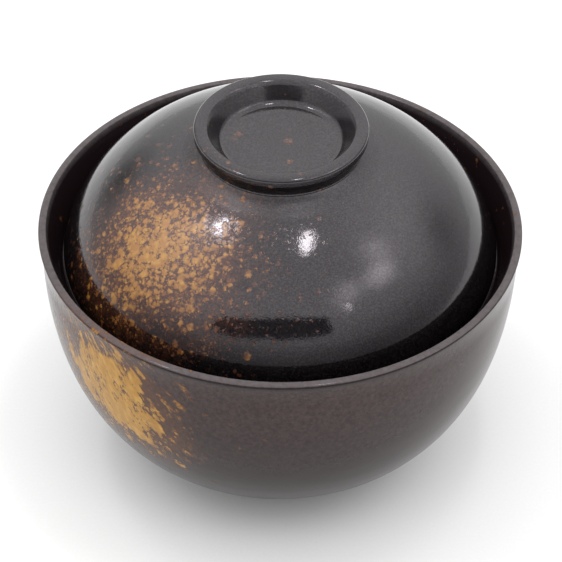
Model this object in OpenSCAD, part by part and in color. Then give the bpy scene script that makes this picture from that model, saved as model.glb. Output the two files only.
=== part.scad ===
// Donburi bowl with a domed lid that drops inside its rim.
// The bowl stands on the plane z = 0, and its axis is the z axis.
// Every shape is a profile turned about that axis. Lengths are in millimetres.

/* [Bowl] */
// Outer diameter of the rim
rim_d = 155; // [130:1:185]
// Height of the rim above the table
bowl_h = 89; // [75:1:105]
// Share that sets how full the outside curve is: 1 is an ellipse, more is squarer
bowl_fullness_share = 1.315; // [1.1:0.005:1.5]
// How far the lip stands out past the wall's curve
rim_flare = 1.1; // [0.2:0.1:2]
// Height over which the lip flares out
rim_flare_h = 9; // [4:0.5:15]
// Width of the lip, seen from above
lip_w = 2.7; // [2:0.1:4]
// Rounding of the lip's outer edge
lip_outer_round = 0.9; // [0.3:0.1:1.4]
// Rounding of the lip's inner edge
lip_inner_round = 0.5; // [0.2:0.1:1]
// Thickness of the clay over the foot
floor_t = 6.5; // [4.5:0.5:10]
// Share that sets how full the inside curve is: 1 is an ellipse, more is squarer
cavity_fullness_share = 1.55; // [1.3:0.05:1.8]

/* [Lid seat] */
// Depth of the ledge that carries the lid, below the rim
seat_depth = 12; // [9:0.5:18]
// Wall thickness beside the lid's edge, just above the ledge
seat_wall = 6; // [4:0.25:8]
// Width of the ledge
seat_w = 2.2; // [2:0.1:4]
// Rounding of the ledge's inner edge
seat_round = 0.5; // [0.2:0.1:0.8]

/* [Foot ring] */
// Outer diameter of the foot ring at the table
foot_d = 61.5; // [50:0.5:75]
// Height of the foot ring
foot_h = 5; // [4.5:0.25:8]
// Width of the foot ring's wall at its top
foot_w = 6.2; // [4.5:0.1:9]
// How far the foot ring's outer side leans in from top to bottom
foot_lean = 1.6; // [0.5:0.1:3]
// Rounding of the foot ring's two lower edges
foot_round = 0.8; // [0.3:0.1:1.2]

/* [Lid] */
// Clearance between the lid's edge and the bowl, all round
lid_play = 0.7; // [0.3:0.1:0.9]
// Height of the dome above its widest circle
dome_h = 41; // [30:0.5:50]
// Share that sets how flat the dome's crown is: 1 is an ellipse, more is flatter
dome_crown_share = 1.265; // [1.1:0.005:1.5]
// Share that sets how upright the dome's side is: 1 is an ellipse, less is more sloping
dome_side_share = 0.785; // [0.7:0.005:1.1]
// Height of the lid's upright edge band
lid_edge_h = 2.3; // [1.5:0.1:4]
// Rounding of the lid's two lower edges
lid_edge_round = 0.4; // [0.2:0.1:0.6]
// Thickness of the dome
lid_wall = 4.5; // [3.5:0.25:6]

/* [Grip ring] */
// Outer diameter of the grip ring's lip
grip_d = 54.8; // [45:0.2:65]
// Height of the grip ring's top above the dome at its neck
grip_h = 9; // [7:0.25:12]
// How far the lip stands out past the neck
grip_flare = 3.4; // [2:0.1:5]
// Height of the lip's outer side
grip_lip_h = 2.6; // [2:0.1:3.5]
// Width of the grip ring's lip, seen from above
grip_lip_w = 4.6; // [3.5:0.1:6]
// Rounding of the lip's outer and inner edges
grip_round = 1; // [0.4:0.1:1.2]
// Width of the ring's sloping inner side, seen from above
grip_slope_w = 5.2; // [3:0.1:7]
// Depth of the floor inside the ring, below its top
grip_recess = 6.2; // [5:0.1:7.5]

/* [Hidden] */
$fn = 120;
// Points along each long curve, each neck and each rounded edge
curve_steps = 36;
neck_steps = 8;
round_steps = 5;

// Outside of the bowl: where its curve starts at the rim and ends on the foot
side_r = rim_d / 2 - rim_flare;
foot_top_r = foot_d / 2 + foot_lean;
curve_depth = bowl_h - foot_h;
bowl_power = 2 * bowl_fullness_share;
bowl_drop = curve_depth / oval(foot_top_r / side_r, bowl_power, bowl_power);

// Ledge inside the bowl, and the cavity below it
seat_z = bowl_h - seat_depth;
seat_r = side_r - seat_wall;
cavity_r = seat_r - seat_w;
cavity_depth = seat_z - foot_h - floor_t;
cavity_power = 2 * cavity_fullness_share;

// Dome of the lid: its widest circle and its two powers
lid_r = seat_r - lid_play;
dome_z = seat_z + lid_edge_h;
crown_power = 2 * dome_crown_share;
side_power = 2 * dome_side_share;

// Grip ring: its neck, its top and the floor inside it
grip_neck_r = grip_d / 2 - grip_flare;
grip_inner_r = grip_d / 2 - grip_lip_w;
grip_floor_r = grip_inner_r - grip_slope_w;
grip_seat_outer_z = dome_surface_z(grip_neck_r);
grip_seat_inner_z = dome_surface_z(grip_floor_r);
grip_top_z = grip_seat_outer_z + grip_h;
grip_floor_z = grip_top_z - grip_recess;

// Height of a unit oval over the place x, between its centre (0) and its edge (1)
function oval(x, across_power, up_power) =
    pow(max(0, 1 - pow(x, across_power)), 1 / up_power);

// Height of the dome's outside over a radius
function dome_surface_z(r) = dome_z + dome_h * oval(r / lid_r, crown_power, side_power);

// Outer radius of the bowl at a depth below the rim, with the lip's flare
function bowl_outer_r(depth) =
    side_r * oval(depth / bowl_drop, bowl_power, bowl_power)
    + rim_flare * pow(max(0, 1 - (depth - lip_outer_round) / rim_flare_h), 2);

// Points of an arc about a centre, from one angle to the other
function arc(centre, r, from_angle, to_angle) = [
    for (i = [0:round_steps])
        let (angle = from_angle + (to_angle - from_angle) * i / round_steps)
        centre + r * [cos(angle), sin(angle)]
];

// Points of the bowl's outside from the foot ring up to the lip's rounding
function bowl_outside() = [
    for (i = [curve_steps:-1:1])
        let (
            swept_share = sin(90 * i / curve_steps),
            depth = lip_outer_round + (curve_depth - lip_outer_round) * swept_share
        )
        [bowl_outer_r(depth), bowl_h - depth]
];

// Points of the bowl's cavity from below the ledge down to the middle of the floor
function bowl_inside() = [
    for (i = [1:curve_steps])
        let (angle = 90 * i / curve_steps)
        [
            cavity_r * pow(cos(angle), 2 / cavity_power),
            seat_z - cavity_depth * pow(sin(angle), 2 / cavity_power)
        ]
];

// Points of the dome's outside from the grip ring's neck down to its widest circle
function dome_outside() = [
    for (i = [0:curve_steps])
        let (
            neck_angle = acos(grip_neck_r / lid_r),
            r = lid_r * cos(neck_angle * (1 - i / curve_steps))
        )
        [r, dome_surface_z(r)]
];

// Points of the dome's inside from its widest circle up to its middle
function dome_inside() = [
    for (i = [0:curve_steps])
        let (
            x = cos(90 * i / curve_steps),
            inner_r = lid_r - lid_wall,
            inner_h = dome_h - lid_wall
        )
        [inner_r * x, dome_z + inner_h * oval(x, crown_power, side_power)]
];

// Points of the grip ring's neck, a quarter oval that leans out under the lip
function grip_neck() = [
    for (i = [0:neck_steps])
        let (angle = 90 * i / neck_steps)
        [
            grip_neck_r + (grip_flare - grip_round / 2) * (1 - cos(angle)),
            grip_seat_outer_z + (grip_h - grip_lip_h) * sin(angle)
        ]
];

// Wall of the bowl, with its lip, the ledge for the lid and the floor over the foot
module bowl_body() {
    outer_lip = [rim_d / 2 - lip_outer_round, bowl_h - lip_outer_round];
    inner_lip = [rim_d / 2 - lip_w + lip_inner_round, bowl_h - lip_inner_round];
    ledge_edge = [cavity_r + seat_round, seat_z - seat_round];
    color("#4a3f3d")
        rotate_extrude()
            polygon(concat(
                [[0, foot_h]],
                bowl_outside(),
                arc(outer_lip, lip_outer_round, 0, 90),
                arc(inner_lip, lip_inner_round, 90, 180),
                [[seat_r, seat_z]],
                arc(ledge_edge, seat_round, 90, 180),
                bowl_inside()
            ));
}

// Ring that the bowl stands on, with a flat resting face between its rounded edges
module bowl_foot_ring() {
    outer_edge = [foot_d / 2 - foot_round, foot_round];
    inner_edge = [foot_top_r - foot_w + foot_round, foot_round];
    color("#6a5a50")
        rotate_extrude()
            polygon(concat(
                [[foot_top_r - foot_w, foot_h]],
                arc(inner_edge, foot_round, 180, 270),
                arc(outer_edge, foot_round, 270, 360),
                [[foot_top_r, foot_h]]
            ));
}

// Dome of the lid, with its flat edge on the bowl's ledge and a seat for the grip ring
module lid_dome() {
    outer_edge = [lid_r - lid_edge_round, seat_z + lid_edge_round];
    inner_edge = [lid_r - lid_wall + lid_edge_round, seat_z + lid_edge_round];
    color("#3b3a3c")
        rotate_extrude()
            polygon(concat(
                [[0, grip_floor_z], [grip_floor_r, grip_floor_z], [grip_floor_r, grip_seat_inner_z]],
                dome_outside(),
                arc(outer_edge, lid_edge_round, 0, -90),
                arc(inner_edge, lid_edge_round, 270, 180),
                dome_inside()
            ));
}

// Ring that the lid is lifted by, which is also its foot when it is turned over
module lid_grip_ring() {
    outer_edge = [grip_d / 2 - grip_round, grip_top_z - grip_round];
    lower_edge = [grip_d / 2 - grip_round / 2, grip_top_z - grip_lip_h + grip_round / 2];
    inner_edge = [grip_inner_r + grip_round, grip_top_z - grip_round];
    color("#454447")
        rotate_extrude()
            polygon(concat(
                [[grip_floor_r, grip_seat_inner_z]],
                grip_neck(),
                arc(lower_edge, grip_round / 2, -90, 0),
                arc(outer_edge, grip_round, 0, 90),
                arc(inner_edge, grip_round, 90, 135),
                [[grip_floor_r, grip_floor_z]]
            ));
}

bowl_body();
bowl_foot_ring();
lid_dome();
lid_grip_ring();
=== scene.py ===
# Donburi bowl with a domed lid, in dark tenmoku glaze with a sprayed amber patch.
# Lengths are in millimetres on the real bowl, and become metres where a mesh or a lamp is made.
import math

import bpy
import numpy as np
from mathutils import Matrix


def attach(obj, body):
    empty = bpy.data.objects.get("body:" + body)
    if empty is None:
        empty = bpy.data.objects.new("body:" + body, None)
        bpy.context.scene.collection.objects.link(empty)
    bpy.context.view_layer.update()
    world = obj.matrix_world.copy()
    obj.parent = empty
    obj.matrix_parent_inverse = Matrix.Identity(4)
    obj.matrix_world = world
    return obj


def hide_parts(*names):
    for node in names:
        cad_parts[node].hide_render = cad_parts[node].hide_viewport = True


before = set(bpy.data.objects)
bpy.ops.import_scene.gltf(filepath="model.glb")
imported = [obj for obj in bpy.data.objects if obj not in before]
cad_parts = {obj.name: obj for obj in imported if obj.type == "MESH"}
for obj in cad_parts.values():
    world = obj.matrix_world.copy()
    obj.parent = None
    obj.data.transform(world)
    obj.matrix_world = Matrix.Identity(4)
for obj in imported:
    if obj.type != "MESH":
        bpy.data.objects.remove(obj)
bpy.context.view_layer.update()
scene = bpy.context.scene


# Studio: a white light tent, brighter overhead than near the table, with glows through its sides,
# four lamps, and white paper under the bowl. The camera looks in through a slit that mirrors as a
# dark bar. None of this is part of the bowl.
mm = 0.001
photo_width_px = 562
focal_length_px = 2608.5
sensor_width_mm = 36
camera_elevation = math.radians(41.352)
camera_roll = math.radians(0.588)
camera_reach_mm = 852.5
camera_target_mm = np.array([0.41, 0.0, 63.09])
lamp_reach_mm = 1200
slit_reach_mm = 960
paper_half_width_mm = 3000
paper_white = "e6e6e6"
paper_shade = "e0e0e0"


def linear(hex_colour):
    """Linear RGBA of an sRGB hex colour."""
    parts = np.array([int(hex_colour[i : i + 2], 16) for i in (0, 2, 4)]) / 255
    values = np.where(parts <= 0.04045, parts / 12.92, ((parts + 0.055) / 1.055) ** 2.4)
    return (*(float(v) for v in values), 1.0)


def add_node(tree, kind, sockets=None, out=0, **settings):
    """Adds a shader node, makes its settings, fills its sockets with values or links, and gives one
    output."""
    made = tree.nodes.new("ShaderNode" + kind)
    for name, value in settings.items():
        setattr(made, name, value)
    for socket, value in (sockets or {}).items():
        if isinstance(value, bpy.types.NodeSocket):
            tree.links.new(value, made.inputs[socket])
        else:
            made.inputs[socket].default_value = value
    return made.outputs[out] if made.outputs else made


def direction(azimuth, elevation):
    """Unit vector at an azimuth and an elevation in degrees, seen from the bowl."""
    a, e = math.radians(azimuth), math.radians(elevation)
    return np.array([math.cos(e) * math.cos(a), math.cos(e) * math.sin(a), math.sin(e)])


def facing(place_mm, back):
    """Matrix of an object at a place whose local z axis is back and whose x axis is level."""
    right = np.cross([0, 0, 1], back)
    right /= np.linalg.norm(right)
    axes = np.array([right, np.cross(back, right), back]).T
    matrix = np.eye(4)
    matrix[:3, :3] = axes
    matrix[:3, 3] = place_mm * mm
    return Matrix(matrix.tolist())


camera_data = bpy.data.cameras.new("camera")
camera_data.sensor_width = sensor_width_mm
camera_data.lens = focal_length_px * sensor_width_mm / photo_width_px
camera_data.clip_start = 0.01
camera = bpy.data.objects.new("camera", camera_data)
scene.collection.objects.link(camera)
camera_back = direction(-90, math.degrees(camera_elevation))
camera_place = camera_target_mm + camera_reach_mm * camera_back
camera.matrix_world = facing(camera_place, camera_back) @ Matrix.Rotation(camera_roll, 4, "Z")
scene.camera = camera
scene.view_settings.view_transform = "Standard"

lamps = [
    # name, azimuth, elevation, width and height as seen from the bowl in degrees, brightness
    ("lamp_top_right", 0, 81.5, 14, 4.5, 13),
    ("lamp_top_left", 157, 68.5, 12, 4.5, 16),
    ("lamp_front_right", -48, 41, 2.6, 2.6, 6),
    ("lamp_front_fill", -90, 62, 50, 20, 1.45),
]
for name, azimuth, elevation, width, height, brightness in lamps:
    lamp_data = bpy.data.lights.new(name, "AREA")
    lamp_data.shape = "ELLIPSE"
    lamp_data.size = 2 * lamp_reach_mm * mm * math.tan(math.radians(width / 2))
    lamp_data.size_y = 2 * lamp_reach_mm * mm * math.tan(math.radians(height / 2))
    # An area lamp's radiance is its power over four times the area of its square
    lamp_data.energy = 4 * lamp_data.size * lamp_data.size_y * brightness * math.pi / 4
    lamp = bpy.data.objects.new(name, lamp_data)
    scene.collection.objects.link(lamp)
    back = direction(azimuth, elevation)
    lamp.matrix_world = facing(camera_target_mm + lamp_reach_mm * back, back)
    lamp.visible_camera = False
    # The wide fill lamp is a soft bounce that only brightens the shadow on the paper
    lamp.visible_glossy = name != "lamp_front_fill"

# The slit as seen from the bowl, in degrees: its lower edge rises to the right, and its upper edge
# is an arch
arch_top = 42.4
arch_middle = -88
arch_bend = 0.0045
slit_azimuths = np.linspace(-125.5, -62, 24)
slit_low = np.interp(slit_azimuths, [-125.5, -112, -96, -62], [25.2, 25.6, 28.0, 28.3])
slit_high = arch_top - arch_bend * (slit_azimuths - arch_middle) ** 2
slit_points = [
    direction(azimuth, elevation) * slit_reach_mm * mm + camera_target_mm * mm
    for elevations in (slit_low, slit_high)
    for azimuth, elevation in zip(slit_azimuths, elevations)
]
slit_count = len(slit_azimuths)
slit_faces = [(i, i + 1, i + slit_count + 1, i + slit_count) for i in range(slit_count - 1)]
slit_mesh = bpy.data.meshes.new("camera_slit")
slit_mesh.from_pydata(slit_points, [], slit_faces)
slit = bpy.data.objects.new("camera_slit", slit_mesh)
scene.collection.objects.link(slit)
slit.visible_camera = False
slit.visible_diffuse = False
slit.visible_shadow = False
# Dark grey cloth round the lens: quite matt, so it only gives the slit its darkness
grey_cloth = bpy.data.materials.new("dark_grey_cloth")
grey_cloth.use_nodes = True
cloth_shader = grey_cloth.node_tree.nodes["Principled BSDF"]
cloth_shader.inputs["Base Color"].default_value = linear("666266")
cloth_shader.inputs["Specular IOR Level"].default_value = 0
slit_mesh.materials.append(grey_cloth)

paper_mesh = bpy.data.meshes.new("paper_floor")
paper_corners = [(-1, -1, 0), (1, -1, 0), (1, 1, 0), (-1, 1, 0)]
paper_mesh.from_pydata(np.array(paper_corners) * paper_half_width_mm * mm, [], [(0, 1, 2, 3)])
paper = bpy.data.objects.new("paper_floor", paper_mesh)
scene.collection.objects.link(paper)
# Uncoated white paper: bright and quite matt, with no mirror image of the bowl
white_paper = bpy.data.materials.new("white_paper")
white_paper.use_nodes = True
paper_tree = white_paper.node_tree
paper_shader = paper_tree.nodes["Principled BSDF"]
paper_shader.inputs["Roughness"].default_value = 0.9
paper_shader.inputs["Specular IOR Level"].default_value = 0.1
paper_place = add_node(paper_tree, "TexCoord", out="Object")
# Fibres about 1 mm long
paper_fibre = add_node(paper_tree, "TexNoise", {"Vector": paper_place, "Scale": 900, "Detail": 3})
paper_colour = add_node(
    paper_tree,
    "Mix",
    {0: paper_fibre, 6: linear(paper_shade), 7: linear(paper_white)},
    out=2,
    data_type="RGBA",
)
paper_tree.links.new(paper_colour, paper_shader.inputs["Base Color"])
paper_mesh.materials.append(white_paper)

world = bpy.data.worlds.new("light_tent")
scene.world = world
world.use_nodes = True
tent = world.node_tree
tent.nodes.clear()
tent_overhead = 1.5
tent_front = 0.26
tent_back = 0.95
# Where the front ends and the back begins, and the low part ends and the top begins, as parts of a
# unit vector
front_y = -0.7
back_y = 0.8
low_z = 0.05
top_z = 0.72
glows = [
    # azimuth, elevation, sharpness, brightness
    (25, 44, 14, 0.5),
    (4, 53, 160, 1.4),
    (-10, 46, 200, 2.2),
    (-20, 46, 220, 1.5),
    (-38, 50, 220, 1.4),
    (-47, 46, 260, 0.9),
    (168, 56, 30, 1.1),
    # Two dark folds in the tent's side
    (27, 24, 40, -0.55),
    (131, 12, 55, -0.6),
]
sky = add_node(tent, "TexCoord", out="Generated")
sky_parts = add_node(tent, "SeparateXYZ", {0: sky}).node
near_table = add_node(
    tent,
    "MapRange",
    {"Value": sky_parts.outputs["Y"], 1: front_y, 2: back_y, 3: tent_front, 4: tent_back},
)
height_share = add_node(
    tent,
    "MapRange",
    {"Value": sky_parts.outputs["Z"], 1: low_z, 2: top_z},
    interpolation_type="SMOOTHSTEP",
)
tent_light = add_node(
    tent, "Mix", {0: height_share, 2: near_table, 3: tent_overhead}, data_type="FLOAT"
)
for azimuth, elevation, sharpness, brightness in glows:
    toward = add_node(
        tent,
        "VectorMath",
        {0: sky, 1: direction(azimuth, elevation)},
        out="Value",
        operation="DOT_PRODUCT",
    )
    toward = add_node(tent, "Math", {0: toward, 1: 0.0}, operation="MAXIMUM")
    toward = add_node(tent, "Math", {0: toward, 1: sharpness}, operation="POWER")
    tent_light = add_node(
        tent, "Math", {0: toward, 1: brightness, 2: tent_light}, operation="MULTIPLY_ADD"
    )
seen_by_camera = add_node(tent, "LightPath", out="Is Camera Ray")
tent_strength = add_node(tent, "Mix", {0: seen_by_camera, 2: tent_light, 3: 1.0}, data_type="FLOAT")
tent_shine = add_node(tent, "Background", {"Color": (1, 1, 1, 1), "Strength": tent_strength})
add_node(tent, "OutputWorld", {"Surface": tent_shine})


# Bowl wall: thrown stoneware, turned, dipped in iron-black tenmoku and sprayed with amber on one
# side. The outside is satin and the inside glossy, and the glaze runs thin and pale over the lip.
# A ledge inside the rim carries the lid.
rim_r = 77.5
rim_z = 89.0
side_r = 76.4
side_power = 2.63
flare = 1.1
flare_height = 9.0
foot_z = 5.0
foot_top_r = 32.35
foot_inner_r = 26.15
lip_outer_round = 0.9
lip_inner_round = 0.5
lip_w = 2.7
seat_r = 70.4
seat_z = 77.0
seat_pool = 0.6
ledge_round = 0.5
cavity_r = 68.2
cavity_depth = 65.5
cavity_power = 3.1
cavity_start = 0.8
around_steps = 360
curve_depth = rim_z - foot_z
side_drop = curve_depth / (1 - (foot_top_r / side_r) ** side_power) ** (1 / side_power)
no_blot = -1.6


def arc(centre, radius, from_angle, to_angle, steps=6):
    """Points centre + radius (cos a, sin a) of an arc in the profile's plane, for angles a in
    degrees."""
    angle = np.radians(np.linspace(from_angle, to_angle, steps + 1))
    return np.column_stack([centre[0] + radius * np.cos(angle), centre[1] + radius * np.sin(angle)])


def line(start, end, spacing):
    """Points of a straight line without its last point, about spacing apart."""
    start, end = np.array(start, float), np.array(end, float)
    steps = max(1, round(np.linalg.norm(end - start) / spacing))
    return start + (end - start) * (np.arange(steps) / steps)[:, None]


def run_length(profile):
    """Length along a profile at each of its points."""
    return np.concatenate([[0], np.cumsum(np.linalg.norm(np.diff(profile, axis=0), axis=1))])


def even(points, spacing):
    """The same curve with its points about spacing apart, by linear interpolation over its
    length."""
    run = run_length(points)
    steps = max(2, round(run[-1] / spacing))
    at = np.linspace(0, run[-1], steps + 1)
    return np.column_stack([np.interp(at, run, points[:, 0]), np.interp(at, run, points[:, 1])])


def unevenness(angle, run, seed, lobes, wavelength, count):
    """Smooth hand-made unevenness of about -1 to 1: a sum of waves, whole numbers of them round the
    piece and any number along the profile, each with a random phase."""
    rng = np.random.default_rng(seed)
    total = np.zeros((len(run), len(angle)))
    for _ in range(count):
        turns = rng.integers(0, lobes + 1)
        along = rng.uniform(0.4, 1.6) / wavelength
        phases = rng.uniform(0, 2 * math.pi, 2)
        up = np.cos(2 * math.pi * along * run + phases[0])
        total += np.outer(up, np.cos(turns * angle + phases[1]))
    return total / math.sqrt(count)


def turned(name, profile, rise, closed=False, attributes=None):
    """Turns a profile (radius, height) about the z axis: point i at angle a lies at
    (r cos a, r sin a, z), moved out along the profile's normal by rise[i, a]. All in millimetres.
    A profile starts and ends on the axis, or is closed."""
    count = len(profile)
    ahead = np.roll(profile, -1, axis=0) - np.roll(profile, 1, axis=0)
    if not closed:
        ahead[0], ahead[-1] = profile[1] - profile[0], profile[-1] - profile[-2]
    normal = np.column_stack([ahead[:, 1], -ahead[:, 0]])
    normal /= np.linalg.norm(normal, axis=1)[:, None]
    if not closed:
        normal[0, 0] = normal[-1, 0] = 0
    steps = rise.shape[1]
    angle = np.arange(steps) * 2 * math.pi / steps
    r = profile[:, :1] + normal[:, :1] * rise
    z = profile[:, 1:] + normal[:, 1:] * rise
    points = np.stack([r * np.cos(angle), r * np.sin(angle), z], axis=-1)
    i, j = np.meshgrid(np.arange(count if closed else count - 1), np.arange(steps), indexing="ij")
    after_i, after_j = (i + 1) % count, (j + 1) % steps
    row, after_row = i * steps, after_i * steps
    quads = np.stack([row + j, row + after_j, after_row + after_j, after_row + j], axis=-1)
    if closed:
        faces = quads.reshape(-1, 4).tolist()
        keep = np.arange(count * steps)
    else:
        # Each pole's ring of equal points becomes one point
        keep = np.concatenate([[0], np.arange(steps, (count - 1) * steps + 1)])
        slot_of = np.zeros(count * steps, int)
        slot_of[keep] = np.arange(len(keep))
        slot_of[(count - 1) * steps :] = len(keep) - 1
        faces = slot_of[quads[1:-1].reshape(-1, 4)].tolist()
        faces += slot_of[quads[0][:, [0, 2, 3]]].tolist()
        faces += slot_of[quads[-1][:, [0, 1, 2]]].tolist()
    mesh = bpy.data.meshes.new(name)
    mesh.from_pydata((points.reshape(-1, 3)[keep] * mm).tolist(), [], faces)
    for key, value in (attributes or {}).items():
        size = 3 if value.ndim == 3 else 1
        made = mesh.attributes.new(key, "FLOAT_VECTOR" if size == 3 else "FLOAT", "POINT")
        flat = value.reshape(-1, size)[keep].astype(np.float32).ravel()
        made.data.foreach_set("vector" if size == 3 else "value", flat)
    mesh.polygons.foreach_set("use_smooth", [True] * len(mesh.polygons))
    mesh.update()
    piece = bpy.data.objects.new(name, mesh)
    scene.collection.objects.link(piece)
    return piece


def blot_reach(places, at):
    """How far each point lies inside the nearest blot, in millimetres: the blot's radius less the
    distance to its middle, and at least no_blot."""
    reach = np.full(at.shape[:2], no_blot)
    for x, y, radius in places:
        reach = np.maximum(reach, radius - np.hypot(at[..., 0] - x, at[..., 1] - y))
    return reach


def laid_out(radius, angle):
    """Places (r cos a, r sin a) of every radius r at every angle a."""
    return np.stack([np.outer(radius, np.cos(angle)), np.outer(radius, np.sin(angle))], axis=-1)


def clouds(lobes, at):
    """Density of the spray: a sum of oval clouds (x, y, wide, high, turn, strength), each falling
    off as a bell curve from its middle."""
    density = np.zeros(at.shape[:2])
    for x, y, wide, high, turn, strength in lobes:
        c, s = math.cos(math.radians(turn)), math.sin(math.radians(turn))
        across, up = at[..., 0] - x, at[..., 1] - y
        density += strength * np.exp(
            -(((across * c + up * s) / wide) ** 2 + ((up * c - across * s) / high) ** 2) / 2
        )
    return density


swept_share = np.sin(np.linspace(math.pi / 2, 0, 400)[:-1])
depth = lip_outer_round + (curve_depth - lip_outer_round) * swept_share
outside = np.column_stack(
    [
        side_r * (1 - (depth / side_drop) ** side_power) ** (1 / side_power)
        + flare * np.clip(1 - (depth - lip_outer_round) / flare_height, 0, None) ** 2,
        rim_z - depth,
    ]
)
sweep = np.linspace(0.001, math.pi / 2, 900)
cavity = np.column_stack(
    [
        cavity_r * np.cos(sweep) ** (2 / cavity_power),
        seat_z - cavity_depth * np.sin(sweep) ** (2 / cavity_power),
    ]
)
cavity = cavity[cavity[:, 1] < seat_z - cavity_start]
cavity[-1, 0] = 0
underside = line((0, foot_z), (foot_top_r, foot_z), spacing=1.6)
outer_lip = arc((rim_r - lip_outer_round, rim_z - lip_outer_round), lip_outer_round, 0, 90)
inner_lip_middle = (rim_r - lip_w + lip_inner_round, rim_z - lip_inner_round)
inner_lip = arc(inner_lip_middle, lip_inner_round, 90, 180)
# Glaze pools where the leaning wall meets the ledge
pool_inset = 0.46
pool = arc((seat_r - pool_inset, seat_z + seat_pool), seat_pool, 0, -90)
seat_wall = line(inner_lip[-1], pool[0], spacing=0.9)[1:]
ledge_edge = arc((cavity_r + ledge_round, seat_z - ledge_round), ledge_round, 90, 180)
wall_profile = np.concatenate(
    [
        underside,
        even(outside, spacing=1.02),
        outer_lip,
        line(outer_lip[-1], inner_lip[0], spacing=0.35)[1:],
        inner_lip,
        seat_wall,
        pool,
        line(pool[-1], ledge_edge[0], spacing=0.4)[1:],
        ledge_edge,
        even(cavity, spacing=1.15),
    ]
)
wall_run = run_length(wall_profile)
first_outside = len(underside)
rim_index = int(np.argmax(wall_profile[:, 1] >= rim_z - 1e-6))
ledge_index = rim_index + int(np.argmin(np.abs(wall_profile[rim_index:, 1] - seat_z)))
around = np.arange(around_steps) * 2 * math.pi / around_steps
index = np.arange(len(wall_profile))
on_outside = ((index >= first_outside) & (index < rim_index)).astype(float)
ledge_steps = 8
in_cavity = (index > ledge_index + ledge_steps).astype(float)
on_underside = index < first_outside
below_rim = rim_z - wall_profile[:, 1]

# Relief in millimetres: faint throwing rings, stronger inside, the unevenness of the hand, a rim
# that dips very slightly, the trimming marks of the underside, and a roll of glaze above the foot.
# Nothing rises at the rim: the rings and the hand grow over the first stretch below it.
ring_spacing = 7.5
ring_drift = 0.8
ring_drift_spacing = 11
rings_grow_over = 12
ring_waver = 0.3
outside_ring_depth = 0.006
inside_ring_depth = 0.1
hand_starts = 0.5
hand_grows_over = 10
hand_depth = 0.09
fine_hand_depth = 0.016
rim_dip_depth = 0.05
rim_dip_reach = 3.5
rim_dip_turn = 0.7
trimming_spacing = 2.3
trimming_depth = 0.05
underside_hollow = 0.3
glaze_line_height = 2.2
glaze_roll_depth = 0.28
glaze_roll_middle = 0.7
glaze_roll_reach = 0.8
glaze_roll_end = 6
glaze_thickness = 0.12
drift = ring_drift * np.sin(wall_run / ring_drift_spacing)
throwing_rings = np.sin(2 * math.pi * wall_run / ring_spacing + drift)
ring_size = outside_ring_depth * on_outside * np.clip(below_rim / rings_grow_over, 0, 1)
ring_size += inside_ring_depth * in_cavity
hand = unevenness(around, wall_run, seed=3, lobes=5, wavelength=60, count=14)
fine_hand = unevenness(around, wall_run, seed=4, lobes=26, wavelength=14, count=26)
hand_share = np.clip((below_rim - hand_starts) / hand_grows_over, 0, 1)
free = (hand_share * (on_outside + in_cavity))[:, None]
wall_rise = (ring_size * throwing_rings)[:, None] * (1 + ring_waver * hand)
wall_rise += hand_depth * free * hand
wall_rise += fine_hand_depth * free * fine_hand
rim_dip = rim_dip_depth + rim_dip_depth * np.cos(2 * around + rim_dip_turn)
near_rim = np.where(below_rim < rim_dip_reach, 1 - below_rim / rim_dip_reach, 0)
wall_rise -= (near_rim * (index <= ledge_index))[:, None] * rim_dip
trimming = trimming_depth * np.sin(2 * math.pi * wall_profile[:, :1] / trimming_spacing + around)
inside_foot = on_underside & (wall_profile[:, 0] < foot_inner_r - 1)
wall_rise += inside_foot[:, None] * (trimming - underside_hollow)
# The glaze line wavers: height, turns round the bowl, and phase of each wave
glaze_waves = [(0.35, 3, 1), (0.25, 7, 0), (0.15, 13, 2)]
glaze_wave = sum(height * np.sin(turns * around + phase) for height, turns, phase in glaze_waves)
above_line = wall_run[:, None] - (wall_run[first_outside] + glaze_line_height) - glaze_wave
from_roll_middle = (above_line - glaze_roll_middle) / glaze_roll_reach
glaze_roll = glaze_roll_depth * np.exp(-(from_roll_middle**2))
glaze_roll -= glaze_thickness * (above_line < 0)
wall_rise += on_outside[:, None] * np.where(above_line < glaze_roll_end, glaze_roll, 0)
wall_rise[0] = wall_rise[0].mean()
wall_rise[-1] = wall_rise[-1].mean()

# Where the amber was sprayed: places on the developed wall, in millimetres round the rim from the
# patch's middle, and down from the rim. The middle is in degrees from straight right.
spray_middle_degrees = -131.5
arc_round = np.degrees(around)[None, :] * np.ones((len(index), 1))
arc_round = (arc_round - spray_middle_degrees + 180) % 360 - 180
arc_round = np.radians(arc_round) * rim_r
down = np.where(index <= rim_index, wall_run[rim_index] - wall_run, 0)
inward = np.where(index > rim_index, wall_run - wall_run[rim_index], 0)
wall_at = np.stack([arc_round, (down + inward)[:, None] * np.ones_like(arc_round)], axis=-1)
wall_clouds = [
    (-1, 22, 11, 13, -12, 1.3),
    (12, 36, 12, 12, 0, 0.48),
    (-18, 25, 14, 20, 0, 0.6),
    (4, 26, 26, 27, 0, 0.24),
]
over_lip_clouds = [(0, 0, 20, 14, 0, 0.5)]
inside_spray = 0.07
over_lip = ((1 - on_outside) * (index < ledge_index))[:, None]
wall_spray = clouds(wall_clouds, wall_at) * on_outside[:, None]
wall_spray += clouds(over_lip_clouds, wall_at) * over_lip
wall_spray += inside_spray * ((1 - on_outside) * (index > rim_index))[:, None]
degrees_to_mm = math.radians(1) * rim_r
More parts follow.
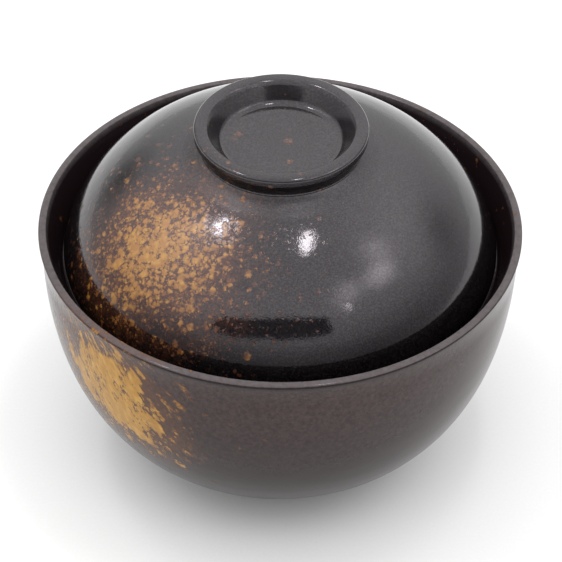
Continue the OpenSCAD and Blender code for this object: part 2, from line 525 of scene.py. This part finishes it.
# The largest single drops: degrees from straight right, millimetres down from the rim, and radius
wall_blots = [
    (-107, 17, 0.9),
    (-109, 40, 0.8),
    (-99, 30, 0.6),
    (-78, 8, 0.5),
    (-43, 39, 0.5),
    (-112, 6, 0.6),
    (-111, 11, 0.9),
    (-111, 25, 0.8),
    (-114, 19, 1.1),
    (-106, 47, 0.6),
]
wall_blots_mm = [((a - spray_middle_degrees) * degrees_to_mm, d, r) for a, d, r in wall_blots]
wall_blot = np.where(on_outside[:, None] > 0, blot_reach(wall_blots_mm, wall_at), no_blot)

# The spray fanned out from above the patch and ran down, so its blots are drawn out along rays
# from a point above the rim. Their width is true at fan_reach from that point, and their length is
# drawn out streak times.
fan_middle = np.array([-34.0, -40.0])
fan_reach = 68
streak = 2.4
ray = wall_at - fan_middle
ray_length = np.hypot(ray[..., 0], ray[..., 1])
ray_angle = np.arctan2(ray[..., 0], ray[..., 1])
fan = np.stack([ray_angle * fan_reach, ray_length / streak, np.zeros_like(ray_length)], axis=-1)
# Over the lip and inside, the drops aren't drawn out, so their pattern follows the place itself.
# The lip's outer rounding is lip_steps steps of the profile.
wall_z = wall_profile[:, 1:] * np.ones((1, around_steps))
wall_place = np.dstack([laid_out(wall_profile[:, 0], around), wall_z])
lip_steps = 6
past_crease = (index > rim_index - lip_steps)[:, None, None]
fan = np.where(past_crease, wall_place, fan)

glossy = np.clip((index - rim_index) / lip_steps, 0, 1)[:, None] * np.ones((1, around_steps))
# The glaze runs thin over the lip. A dark line just below its outer edge is painted shade. A share
# of 1 is thin and -1 is painted shade, by the length from the top of the rim.
lip_band_at = [-2.1, -1.7, -1.05, -0.7, 2.0, 3.6]
lip_band_shares = [0, -1, -1, 1, 1, 0]
thin_lip_and_shade = np.interp(wall_run - wall_run[rim_index], lip_band_at, lip_band_shares)
thin_lip_and_shade = thin_lip_and_shade[:, None] * np.ones((1, around_steps))
glaze_edge_w = 0.3
bare = np.clip(0.5 - above_line / glaze_edge_w, 0, 1) * on_outside[:, None]

bowl_wall = turned(
    "bowl_wall",
    wall_profile,
    wall_rise,
    attributes={
        "spray": wall_spray,
        "blot": wall_blot,
        "fan": fan,
        "glossy": glossy,
        "lip": thin_lip_and_shade,
        "bare": bare,
    },
)


def tenmoku(
    name,
    ground,
    ambers,
    blot_layers,
    fullest,
    drop_height,
    satin,
    specks,
    ior,
    coordinates=None,
    lip=None,
    gloss=None,
    dulled=False,
):
    """Iron-black glaze with sprayed amber. Each layer of blots is a Voronoi pattern with one cell
    for each possible drop: the cell has a drop where its random number is below the spray's
    density, and the drop's radius grows with the difference, up to fullest cells. Patterns are in
    millimetres, so a scale is the number of cells or waves to the millimetre. Satin and gloss are
    roughnesses, and specks is how strongly the glaze's crystals show."""
    warp_mm = 1.7
    drop_waver_mm = (-0.7, 0.5)
    ragged_mm = 0.3
    drop_edge_mm = (-0.12, 0.16)
    peel_depth = 0.0128 * mm
    pit_depth = 0.012 * mm
    material = bpy.data.materials.new(name)
    material.use_nodes = True
    tree = material.node_tree
    shader = tree.nodes["Principled BSDF"]
    place = add_node(tree, "TexCoord", out="Object")
    place_mm = add_node(tree, "VectorMath", {0: place, "Scale": 1 / mm}, operation="SCALE")
    spray = add_node(tree, "Attribute", out="Fac", attribute_name="spray")
    blot = add_node(tree, "Attribute", out="Fac", attribute_name="blot")
    pattern = place_mm
    if coordinates:
        pattern = add_node(tree, "Attribute", out="Vector", attribute_name=coordinates)
    warp = add_node(tree, "TexNoise", {"Vector": pattern, "Scale": 0.8, "Detail": 2}, out="Color")
    warp = add_node(tree, "VectorMath", {0: warp, 1: (0.5, 0.5, 0.5)}, operation="SUBTRACT")
    warped = add_node(
        tree, "VectorMath", {0: warp, 1: (warp_mm,) * 3, 2: pattern}, operation="MULTIPLY_ADD"
    )
    # The spray is uneven over about 6 mm
    patchy = add_node(tree, "TexNoise", {"Vector": pattern, "Scale": 0.16, "Detail": 2})
    density = add_node(
        tree, "MapRange", {"Value": patchy, 1: 0.25, 2: 0.75, 3: 0.7, 4: 1.3}, clamp=False
    )
    density = add_node(tree, "Math", {0: density, 1: spray}, operation="MULTIPLY")
    # A single drop is uneven too
    uneven = add_node(tree, "TexNoise", {"Vector": place_mm, "Scale": 0.7, "Detail": 2})
    thinnest, thickest = drop_waver_mm
    uneven = add_node(
        tree,
        "MapRange",
        {"Value": uneven, 1: 0.25, 2: 0.75, 3: thinnest, 4: thickest},
        clamp=False,
    )
    thickness = add_node(tree, "Math", {0: blot, 1: uneven}, operation="ADD")
    for size, share in blot_layers:
        cell = add_node(tree, "TexVoronoi", {"Vector": warped, "Scale": 1 / size}, out="Distance")
        random = add_node(tree, "SeparateColor", {0: cell.node.outputs["Color"]}).node
        missing = add_node(tree, "Math", {0: random.outputs[0], 1: -1}, operation="MULTIPLY")
        grown = add_node(
            tree, "Math", {0: density, 1: share, 2: missing}, operation="MULTIPLY_ADD"
        )
        # The radius, in parts of a cell, jumps to a quarter once there is a drop, then grows slowly
        steep = add_node(tree, "Math", {0: grown, 1: 6}, operation="MULTIPLY")
        slow = add_node(tree, "Math", {0: grown, 1: 0.5, 2: 0.26}, operation="MULTIPLY_ADD")
        radius = add_node(tree, "Math", {0: steep, 1: slow}, operation="MINIMUM")
        varied = add_node(
            tree, "MapRange", {"Value": random.outputs[1], 1: 0, 2: 1, 3: 0.7, 4: 1.15}
        )
        radius = add_node(tree, "Math", {0: radius, 1: varied}, operation="MULTIPLY")
        radius = add_node(tree, "Math", {0: radius, 1: fullest}, operation="MINIMUM")
        inside = add_node(tree, "Math", {0: radius, 1: cell}, operation="SUBTRACT")
        inside = add_node(tree, "Math", {0: inside, 1: size}, operation="MULTIPLY")
        thickness = add_node(tree, "Math", {0: thickness, 1: inside}, operation="MAXIMUM")
    ragged = add_node(tree, "TexNoise", {"Vector": pattern, "Scale": 2.2, "Detail": 2})
    ragged = add_node(
        tree,
        "MapRange",
        {"Value": ragged, 1: 0.2, 2: 0.8, 3: -ragged_mm, 4: ragged_mm},
        clamp=False,
    )
    thickness = add_node(tree, "Math", {0: thickness, 1: ragged}, operation="ADD")
    amber_here = add_node(
        tree,
        "MapRange",
        {"Value": thickness, 1: drop_edge_mm[0], 2: drop_edge_mm[1]},
        interpolation_type="SMOOTHSTEP",
    )
    thick = add_node(tree, "MapRange", {"Value": thickness, 1: 0.0, 2: 0.55, 3: 0.0, 4: 0.5})
    rich = add_node(tree, "Math", {0: density, 1: 0.75, 2: thick}, operation="MULTIPLY_ADD")
    tint = add_node(tree, "TexNoise", {"Vector": place_mm, "Scale": 0.5, "Detail": 5})
    rich = add_node(tree, "Math", {0: tint, 1: 1.5, 2: rich}, operation="MULTIPLY_ADD")
    rich = add_node(tree, "MapRange", {"Value": rich, 1: 1.2, 2: 2.1})
    # Amber is rust where the spray is thin, honey where it is rich, and ochre where it pooled
    rust, honey, ochre = ambers
    amber = add_node(
        tree, "Mix", {0: rich, 6: linear(rust), 7: linear(honey)}, out=2, data_type="RGBA"
    )
    pooled_amber = add_node(tree, "TexNoise", {"Vector": pattern, "Scale": 1 / 1.7, "Detail": 3})
    pooled_amber = add_node(
        tree, "MapRange", {"Value": pooled_amber, 1: 0.46, 2: 0.66, 3: 0.0, 4: 0.8}
    )
    pooled_amber = add_node(tree, "Math", {0: pooled_amber, 1: rich}, operation="MULTIPLY")
    amber = add_node(
        tree, "Mix", {0: pooled_amber, 6: amber, 7: linear(ochre)}, out=2, data_type="RGBA"
    )
    cover = add_node(tree, "MapRange", {"Value": rich, 1: 0.0, 2: 0.6, 3: 0.5, 4: 1.0})
    amber_here = add_node(tree, "Math", {0: amber_here, 1: cover}, operation="MULTIPLY")

    mottle = add_node(
        tree, "TexNoise", {"Vector": place_mm, "Scale": 1 / 1.6, "Detail": 4, "Roughness": 0.65}
    )
    mottle = add_node(tree, "MapRange", {"Value": mottle, 1: 0.36, 2: 0.66})
    black, slate = ground
    base = add_node(
        tree, "Mix", {0: mottle, 6: linear(black), 7: linear(slate)}, out=2, data_type="RGBA"
    )
    # Iron crystals in the glaze, about 0.5 mm apart, are pale specks and uneven in shine
    crystals = add_node(tree, "TexNoise", {"Vector": place_mm, "Scale": 1 / 0.5, "Detail": 2})
    crystal = add_node(tree, "MapRange", {"Value": crystals, 1: 0.5, 2: 0.78, 3: 0.0, 4: specks})
    base = add_node(
        tree, "Mix", {0: crystal, 6: base, 7: linear("8a8487")}, out=2, data_type="RGBA"
    )
    rough = satin
    if lip:
        # Painted shade: the base colour darkens towards the foot
        low = add_node(tree, "SeparateXYZ", {0: place_mm}, out="Z")
        low = add_node(tree, "MapRange", {"Value": low, 1: 75, 2: 12})
        base = add_node(
            tree, "Mix", {0: low, 6: base, 7: linear("0d0807")}, out=2, data_type="RGBA"
        )
        glossy_here = add_node(tree, "Attribute", out="Fac", attribute_name="glossy")
        thin_lip_and_shade_here = add_node(tree, "Attribute", out="Fac", attribute_name="lip")
        bare_here = add_node(tree, "Attribute", out="Fac", attribute_name="bare")
        base = add_node(
            tree, "Mix", {0: glossy_here, 6: base, 7: linear("1a1214")}, out=2, data_type="RGBA"
        )
        thin = add_node(tree, "MapRange", {"Value": mottle, 1: 0.0, 2: 0.8, 3: 0.6, 4: 1.0})
        thin = add_node(tree, "Math", {0: thin, 1: thin_lip_and_shade_here}, operation="MULTIPLY")
        base = add_node(tree, "Mix", {0: thin, 6: base, 7: linear(lip)}, out=2, data_type="RGBA")
        # Painted shade: a dark line just below the lip's outer edge, where the lip attribute is
        # below zero
        painted_lip_shade = add_node(tree, "Math", {0: thin_lip_and_shade_here, 1: -0.85}, operation="MULTIPLY")
        base = add_node(
            tree, "Mix", {0: painted_lip_shade, 6: base, 7: linear("0b0808")}, out=2, data_type="RGBA"
        )
        lip_rough = 0.07
        rough = add_node(tree, "Mix", {0: glossy_here, 2: satin, 3: gloss}, data_type="FLOAT")
        rough = add_node(tree, "Mix", {0: thin_lip_and_shade_here, 2: rough, 3: lip_rough}, data_type="FLOAT")
    # The mist of the spray stains the glaze rust brown between the drops, where they're dense
    mist = add_node(tree, "TexNoise", {"Vector": place_mm, "Scale": 0.8, "Detail": 3})
    mist = add_node(tree, "Math", {0: mist, 1: density}, operation="MULTIPLY")
    mist = add_node(tree, "MapRange", {"Value": mist, 1: 0.12, 2: 0.45, 3: 0.0, 4: 0.55})
    base = add_node(tree, "Mix", {0: mist, 6: base, 7: linear(rust)}, out=2, data_type="RGBA")
    colour = add_node(tree, "Mix", {0: amber_here, 6: base, 7: amber}, out=2, data_type="RGBA")
    if lip:
        clay = linear("6e4a38")
        clay_rough = 0.85
        colour = add_node(tree, "Mix", {0: bare_here, 6: colour, 7: clay}, out=2, data_type="RGBA")
        rough = add_node(tree, "Mix", {0: bare_here, 2: rough, 3: clay_rough}, data_type="FLOAT")
    if dulled:
        dull_here = add_node(tree, "Attribute", out="Fac", attribute_name="dull")
        dull_rough = 0.4
        rough = add_node(tree, "Mix", {0: dull_here, 2: satin, 3: dull_rough}, data_type="FLOAT")
    # Sprayed amber is less glossy than the glaze below it
    rough_amber = add_node(tree, "Math", {0: rough, 1: 0.1}, operation="ADD")
    rough = add_node(tree, "Mix", {0: amber_here, 2: rough, 3: rough_amber}, data_type="FLOAT")
    # The skin is like orange peel, 1.7 mm from hump to hump, with pits where the crystals are
    peel = add_node(tree, "TexNoise", {"Vector": place_mm, "Scale": 1 / 1.7, "Detail": 0})
    peel_bump = add_node(tree, "Bump", {"Height": peel, "Strength": 1.0, "Distance": peel_depth})
    peel_bump = add_node(
        tree,
        "Bump",
        {"Height": crystals, "Strength": 1.0, "Distance": pit_depth, "Normal": peel_bump},
    )
    relief = add_node(tree, "MapRange", {"Value": thickness, 1: -0.15, 2: 0.6})
    relief = add_node(tree, "Math", {0: pooled_amber, 1: 0.5, 2: relief}, operation="MULTIPLY_ADD")
    bump = add_node(
        tree,
        "Bump",
        {"Height": relief, "Strength": 1.0, "Distance": drop_height, "Normal": peel_bump},
    )
    for socket, value in (("Base Color", colour), ("Roughness", rough), ("Normal", bump)):
        tree.links.new(value, shader.inputs[socket])
    shine = add_node(tree, "MapRange", {"Value": crystals, 1: 0.35, 2: 0.65})
    shine = add_node(
        tree, "Mix", {0: shine, 6: linear("dacfd8"), 7: linear("fffbff")}, out=2, data_type="RGBA"
    )
    tree.links.new(shine, shader.inputs["Specular Tint"])
    shader.inputs["IOR"].default_value = ior
    return material


# Tenmoku on the bowl: fired satin outside, so it mirrors no clear image and greys towards its
# edges. Each layer of blots has the size of its cells in millimetres and its share of drops.
bowl_wall.data.materials.append(
    tenmoku(
        "tenmoku_satin_glaze",
        ground=("302624", "413533"),
        ambers=("613c21", "a5782e", "bd9245"),
        blot_layers=[(3.4, 1.0), (1.9, 0.9), (1.0, 0.75)],
        fullest=0.67,
        drop_height=0.07 * mm,
        satin=0.2,
        specks=0.06,
        ior=1.33,
        coordinates="fan",
        lip="514b4c",
        gloss=0.1,
    )
)
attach(bowl_wall, "bowl")
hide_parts("bowl_body")


# Foot ring: the turned ring that the bowl stands on, wiped free of glaze so that it doesn't stick
# in the kiln. It shows the bare iron-bearing stoneware, with turning marks and a smooth worn foot.
foot_r = 30.75
foot_round = 0.8
foot_outer = arc((foot_r - foot_round, foot_round), foot_round, -90, 0)
foot_inner = arc((foot_inner_r + foot_round, foot_round), foot_round, 180, 270)
foot_profile = np.concatenate(
    [
        line((foot_inner_r, foot_z), foot_inner[0], spacing=0.5),
        foot_inner,
        line(foot_inner[-1], foot_outer[0], spacing=0.5)[1:],
        foot_outer,
        line(foot_outer[-1], (foot_top_r, foot_z), spacing=0.5)[1:],
        line((foot_top_r, foot_z), (foot_inner_r, foot_z), spacing=1.0),
    ]
)
foot_run = run_length(foot_profile)
foot_steps = 300
foot_around = np.arange(foot_steps) * 2 * math.pi / foot_steps
# One turning mark is about 1 mm high, and the ring's sides lie a little back from the glaze above
mark_turn = 6.5
mark_depth = 0.05
side_sunk = 0.06
foot_hand_depth = 0.03
foot_side_from = 0.9
foot_side_to = 4.6
on_foot_side = (foot_profile[:, 1] > foot_side_from) & (foot_profile[:, 1] < foot_side_to)
foot_marks = mark_depth * np.sin(mark_turn * foot_profile[:, 1:] + foot_around)
foot_hand = unevenness(foot_around, foot_run, seed=8, lobes=30, wavelength=6, count=20)
foot_rise = on_foot_side[:, None] * (foot_marks - side_sunk + foot_hand_depth * foot_hand)
bowl_foot = turned("bowl_foot", foot_profile, foot_rise, closed=True)
# Unglazed stoneware: matt, warm brown and cloudy, with dark iron grit about 0.3 mm across
stoneware = bpy.data.materials.new("unglazed_stoneware")
stoneware.use_nodes = True
clay_tree = stoneware.node_tree
clay_shader = clay_tree.nodes["Principled BSDF"]
clay_place = add_node(clay_tree, "TexCoord", out="Object")
clay_mm = add_node(clay_tree, "VectorMath", {0: clay_place, "Scale": 1 / mm}, operation="SCALE")
clay_cloud = add_node(clay_tree, "TexNoise", {"Vector": clay_mm, "Scale": 0.25, "Detail": 4})
clay_grit = add_node(clay_tree, "TexNoise", {"Vector": clay_mm, "Scale": 3.0, "Detail": 3})
clay_colour = add_node(
    clay_tree,
    "Mix",
    {0: clay_cloud, 6: linear("5c3c2c"), 7: linear("8a6148")},
    out=2,
    data_type="RGBA",
)
clay_speck = add_node(clay_tree, "MapRange", {"Value": clay_grit, 1: 0.62, 2: 0.7})
clay_colour = add_node(
    clay_tree, "Mix", {0: clay_speck, 6: clay_colour, 7: linear("2e211b")}, out=2, data_type="RGBA"
)
grit_height = 0.08 * mm
clay_bump = add_node(
    clay_tree, "Bump", {"Height": clay_grit, "Strength": 1.0, "Distance": grit_height}
)
clay_tree.links.new(clay_colour, clay_shader.inputs["Base Color"])
clay_tree.links.new(clay_bump, clay_shader.inputs["Normal"])
clay_shader.inputs["Roughness"].default_value = 0.88
bowl_foot.data.materials.append(stoneware)
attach(bowl_foot, "bowl")
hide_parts("bowl_foot_ring")


# Lid: a thrown dome in the same glaze, fired glossier, that drops inside the rim onto the ledge.
# The amber lies over the left side and front as round drops, solid in the middle of the patch.
# Its lower edge is a plain upright band.
lid_r = 69.7
dome_z = 79.3
dome_h = 41.0
crown_power = 2.53
dome_side_power = 1.57
lid_wall = 4.5
lid_edge_round = 0.4
grip_neck_r = 24.0
grip_floor_r = 17.6
grip_floor_z = 121.318
grip_seat_z = 118.518
neck_swell_r = 36.0
neck_swell = 2.3
swell_power = 4
crown_to_neck = 24.5
dish_r = 16
dish_depth = 0.3


def dome_height(radius, widest, height):
    """Height above the widest circle, flat on top and steep at the edge: height times
    (1 - (r / widest)^m)^(1 / n), with m the crown's power and n the side's."""
    inside = np.clip(1 - (np.asarray(radius) / widest) ** crown_power, 0, None)
    return height * inside ** (1 / dome_side_power)


dome_sweep = lid_r * np.cos(np.linspace(math.acos(grip_neck_r / lid_r), 0, 500))
dome_top = dome_z + dome_height(dome_sweep, lid_r, dome_h)
dome_outside = even(np.column_stack([dome_sweep, dome_top]), spacing=0.72)
inner_r = lid_r - lid_wall
inner_sweep = inner_r * np.cos(np.linspace(0, math.pi / 2, 500))
inner_sweep[-1] = 0
inner_top = dome_z + dome_height(inner_sweep, inner_r, dome_h - lid_wall)
dome_inside = even(np.column_stack([inner_sweep, inner_top]), spacing=1.3)
band_outer = arc((lid_r - lid_edge_round, seat_z + lid_edge_round), lid_edge_round, 0, -90, 5)
band_inner = arc((inner_r + lid_edge_round, seat_z + lid_edge_round), lid_edge_round, 270, 180, 5)
band_bottom = line(band_inner[0], band_outer[-1], spacing=0.9)
crown_height = dome_z + float(dome_height(grip_floor_r, lid_r, dome_h))
# A point this close to a corner keeps its shading crisp
corner_hold = 0.03
lid_profile = np.concatenate(
    [
        dome_inside[::-1],
        band_inner[::-1],
        band_bottom[1:],
        band_outer[::-1],
        dome_outside[::-1],
        line(dome_outside[0], (grip_floor_r, crown_height), spacing=1.6)[1:],
        line((grip_floor_r, crown_height), (grip_floor_r, grip_floor_z), spacing=0.6),
        [[grip_floor_r, grip_floor_z], [grip_floor_r - corner_hold, grip_floor_z]],
        line((grip_floor_r - 0.3, grip_floor_z), (0, grip_floor_z), spacing=0.9),
        [[0, grip_floor_z]],
    ]
)
lid_run = run_length(lid_profile)
lid_steps = 420
lid_around = np.arange(lid_steps) * 2 * math.pi / lid_steps
lid_index = np.arange(len(lid_profile))
dome_start = len(dome_inside) + len(band_inner) + len(band_bottom) - 1 + len(band_outer)
# Room for rounding where a point lies right on an edge
slack = 0.01
on_dome = (lid_index >= dome_start) & (lid_profile[:, 0] > grip_neck_r - slack)
# Relief in millimetres: the unevenness of the hand and throwing rings, stronger inside. It starts
# above the lid's edge and ends at the neck.
lid_ring_spacing = 6.8
lid_ring_drift = 0.7
lid_ring_drift_spacing = 9
lid_hand_depth = 0.05
lid_fine_depth = 0.003
lid_ring_depth = 0.006
lid_inner_ring_depth = 0.07
grows_up_over = 6
fades_in_over = 4
above_seat = np.clip((lid_profile[:, 1] - dome_z) / grows_up_over, 0, 1)
from_neck = np.clip((lid_profile[:, 0] - grip_neck_r) / fades_in_over, 0, 1)
lid_free = (above_seat * from_neck * on_dome)[:, None]
inner_free = ((lid_index < len(dome_inside)) * above_seat)[:, None]
lid_drift = lid_ring_drift * np.sin(lid_run / lid_ring_drift_spacing)
lid_rings = np.sin(2 * math.pi * lid_run / lid_ring_spacing + lid_drift)[:, None]
lid_hand = unevenness(lid_around, lid_run, seed=13, lobes=6, wavelength=45, count=16)
lid_fine = unevenness(lid_around, lid_run, seed=14, lobes=60, wavelength=7, count=60)
lid_rise = lid_free * (
    lid_hand_depth * lid_hand + lid_fine_depth * lid_fine + lid_ring_depth * lid_rings
)
lid_rise += inner_free * (lid_hand_depth * lid_hand + lid_inner_ring_depth * lid_rings)
# The floor inside the grip ring is dished a little
floor_r = lid_profile[:, 0]
in_floor = (lid_index > dome_start + len(dome_outside)) & (floor_r < grip_floor_r + slack)
in_floor &= lid_profile[:, 1] > grip_floor_z - slack
floor_dish = -dish_depth * np.clip(1 - (floor_r / dish_r) ** 2, 0, 1)
lid_rise += (in_floor * floor_dish)[:, None]
# The dome keeps rising towards the ring, where clay was added to join it
toward_neck = np.clip(neck_swell_r - lid_profile[:, 0], 0, None)
swell_share = (toward_neck / (neck_swell_r - grip_neck_r)) ** swell_power
lid_rise += (on_dome * neck_swell * swell_share)[:, None]
lid_rise[0] = lid_rise[0].mean()
lid_rise[-1] = lid_rise[-1].mean()

# Places on the dome, flattened: length along the dome from its crown, laid out by direction
crown_run = lid_run[dome_start + len(dome_outside) - 1] + crown_to_neck
beyond_spray = 200
from_crown = np.clip(crown_run - lid_run, 0, None)
from_crown = np.where(lid_index >= dome_start, from_crown, beyond_spray)
lid_at = laid_out(from_crown, lid_around)
lid_clouds = [
    (-40, -40, 13, 9, -30, 0.42),
    (-47, -37, 18, 16, 0, 0.58),
    (-28, -52, 15, 13, -40, 0.22),
    (-26, -26, 15, 11, 0, 0.21),
    (-42, -34, 30, 30, 0, 0.36),
    (-20, -66, 22, 10, 20, 0.1),
]
# The largest single drops: their places and radii
lid_blots = [
    (-10, -51, 1.5),
    (-16, -54, 1.1),
    (-10, -56, 1.0),
    (-5, -57, 0.9),
    (-11, -60, 1.0),
    (-4, -50, 0.8),
    (-1, -48, 0.9),
    (0, -48, 0.7),
    (12, -32, 1.0),
    (13, -56, 0.8),
    (-6, -39, 1.0),
    (-11, -76, 1.7),
    (-37, -69, 1.5),
    (-53, -58, 1.5),
    (-59, -48, 2.0),
    (-25, -66, 1.3),
    (-30, -59, 1.3),
    (9, -66, 0.5),
    (6, -65, 0.5),
    (-18, -71, 0.7),
    (-15, -72, 0.5),
    (-51, -6, 1.0),
    (-33, -27, 1.5),
    (-7, -58, 0.7),
    (-23, -63, 0.8),
    (-38, -35, 1.5),
    (-44, 15, 1.1),
    (-40, 7, 1.1),
    (-56, 19, 1.0),
    (-37, -2, 1.2),
    (-36, 4, 1.0),
    (-51, -5, 1.2),
    (-47, 3, 1.1),
    (-57, 5, 1.1),
    (-29, 12, 1.0),
    (-62, 9, 1.1),
    (-42, -1, 1.1),
]
# Blots on the floor inside the grip ring are placed from its middle
floor_blots = [
    (-13.5, 3.3, 1.4),
    (-14.5, 0.8, 0.8),
    (2.1, 0.5, 1.3),
    (2.8, -9.9, 1.2),
]
floor_at = laid_out(floor_r, lid_around)
floor_spray = 0.07
in_floor = in_floor[:, None]
lid_spray = np.where(in_floor, floor_spray, clouds(lid_clouds, lid_at))
lid_blot = np.where(in_floor, blot_reach(floor_blots, floor_at), blot_reach(lid_blots, lid_at))
# The glaze lies thick and dull in the hollow round the grip ring's neck
dull_at_r = [25, 26, 30, 33]
dull_shares = [0.5, 1, 1, 0]
lid_dull = np.interp(lid_profile[:, 0], dull_at_r, dull_shares) * on_dome
lid_dull = lid_dull[:, None] * np.ones((1, lid_steps))
lid_shell = turned(
    "lid_shell",
    lid_profile,
    lid_rise,
    attributes={"spray": lid_spray, "blot": lid_blot, "dull": lid_dull},
)
# Tenmoku on the lid: the same glaze, glossy, with a skin like orange peel that breaks up highlights
lid_glaze = tenmoku(
    "tenmoku_gloss_glaze",
    ground=("040304", "0c0a0b"),
    ambers=("54301c", "8c6029", "a27935"),
    blot_layers=[(3.0, 0.75), (1.9, 0.95), (1.2, 1.0), (0.75, 0.5)],
    fullest=0.57,
    drop_height=0.03 * mm,
    satin=0.08,
    specks=0.04,
    ior=1.7,
    dulled=True,
)
lid_shell.data.materials.append(lid_glaze)
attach(lid_shell, "lid")
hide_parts("lid_dome")


# Grip ring: a low thrown ring with a flared lip that the lid is lifted by, and its foot when turned
# over. It was joined to the dome before firing and is glazed with it, glossy on the lip and duller
# on the slope inside.
grip_r = 27.4
grip_inner_r = 22.8
grip_top_z = 127.518
grip_round = 1.0
grip_flare = 3.4
grip_lip_h = 3.4
grip_h = 9.0
lip_half_w = 2.3
lip_crown = 0.22
neck_turn = np.radians(np.linspace(0, 90, 37))
# The visible neck stands a little outside the seat on the dome
neck_out = 1.4
neck = np.column_stack(
    [
        grip_neck_r + neck_out + (grip_flare - grip_round / 2 - neck_out) * (1 - np.cos(neck_turn)),
        grip_seat_z + (grip_h - grip_lip_h) * np.sin(neck_turn),
    ]
)
low_round = grip_round / 2
lower_edge = arc((grip_r - low_round, grip_top_z - grip_lip_h + low_round), low_round, -90, 0)
outer_edge = arc((grip_r - grip_round, grip_top_z - grip_round), grip_round, 0, 90)
# The slope falls at slope_degrees and runs into the floor in a round of fillet_round
slope_degrees = 55.0
fillet_round = 2.57
inner_edge_middle = (grip_inner_r + grip_round, grip_top_z - grip_round)
inner_edge = arc(inner_edge_middle, grip_round, 90, 90 + slope_degrees, steps=5)
fillet_middle = (grip_floor_r, grip_floor_z + fillet_round)
fillet = arc(fillet_middle, fillet_round, slope_degrees - 90, -90, steps=8)
fillet = np.insert(fillet, -1, [grip_floor_r + corner_hold, grip_floor_z], axis=0)
# The slope is thrown a little hollow, so it's steeper at the top
hollow = 0.5
into_clay = [-0.82, -0.57]
slope_line = line(inner_edge[-1], fillet[0], spacing=0.35)[1:]
slope_share = np.linspace(0, 1, len(slope_line) + 2)[1:-1]
slope_line += np.outer(hollow * slope_share * (1 - slope_share), into_clay)
grip_profile = np.concatenate(
    [
        line((grip_floor_r, crown_height), neck[0], spacing=1.0),
        neck,
        lower_edge[1:],
        line(lower_edge[-1], outer_edge[0], spacing=0.4)[1:],
        outer_edge,
        line(outer_edge[-1], inner_edge[0], spacing=0.4)[1:],
        inner_edge,
        slope_line,
        fillet,
        line(fillet[-1], (grip_floor_r, crown_height), spacing=0.5)[1:],
    ]
)
# The lip is thrown with a slight crown: its top falls to both sides
lip_middle_r = (grip_r + grip_inner_r) / 2
lip_share = np.clip((grip_profile[:, 1] - grip_top_z + grip_round) / grip_round, 0, 1)
from_lip_middle = (grip_profile[:, 0] - lip_middle_r) / lip_half_w
grip_profile[:, 1] -= lip_crown * lip_share * np.clip(from_lip_middle**2, 0, 1)
grip_run = run_length(grip_profile)
grip_steps = 360
grip_around = np.arange(grip_steps) * 2 * math.pi / grip_steps
grip_at = laid_out(grip_profile[:, 0], grip_around)
grip_clouds = [
    (-20, -18, 14, 12, 0, 0.15),
    (0, 0, 30, 30, 0, 0.05),
]
grip_blots = [
    (-16, -19, 0.9),
    (-12.4, -21.8, 0.5),
    (5.8, -23.9, 0.7),
    (-23.6, -12.7, 0.5),
]
# The hand leaves the ring a little uneven, and always inside the solid's outline
grip_hand_depth = 0.04
most_hand = 1.2
grip_inset = 0.05
grip_hand = unevenness(grip_around, grip_run, seed=21, lobes=7, wavelength=20, count=12)
grip_rise = grip_hand_depth * np.clip(grip_hand, -most_hand, most_hand) - grip_inset
grip_rise *= (grip_profile[:, 1] > grip_floor_z + 0.2)[:, None]
# A low bead of clay runs round the neck's foot, where the ring was joined on
on_neck = (grip_profile[:, 0] > grip_neck_r - 0.5) & (grip_profile[:, 1] < grip_top_z - grip_lip_h)
bead_depth = 0.2
bead_z = 1.4
bead_reach = 0.3
bead = bead_depth * np.exp(-(((grip_profile[:, 1] - grip_seat_z - bead_z) / bead_reach) ** 2))
grip_rise += (on_neck * bead)[:, None]
# The slope was wiped on the wheel, and its glaze is less glossy
on_slope = (grip_profile[:, 0] < grip_inner_r + 0.6) & (grip_profile[:, 1] > grip_floor_z + 0.5)
slope_dullness = 0.35
slope_dull = slope_dullness * on_slope
lid_grip = turned(
    "lid_grip",
    grip_profile,
    grip_rise,
    closed=True,
    attributes={
        "spray": clouds(grip_clouds, grip_at),
        "blot": blot_reach(grip_blots, grip_at),
        "dull": slope_dull[:, None] * np.ones((1, grip_steps)),
    },
)
lid_grip.data.materials.append(lid_glaze)
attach(lid_grip, "lid")
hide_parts("lid_grip_ring")
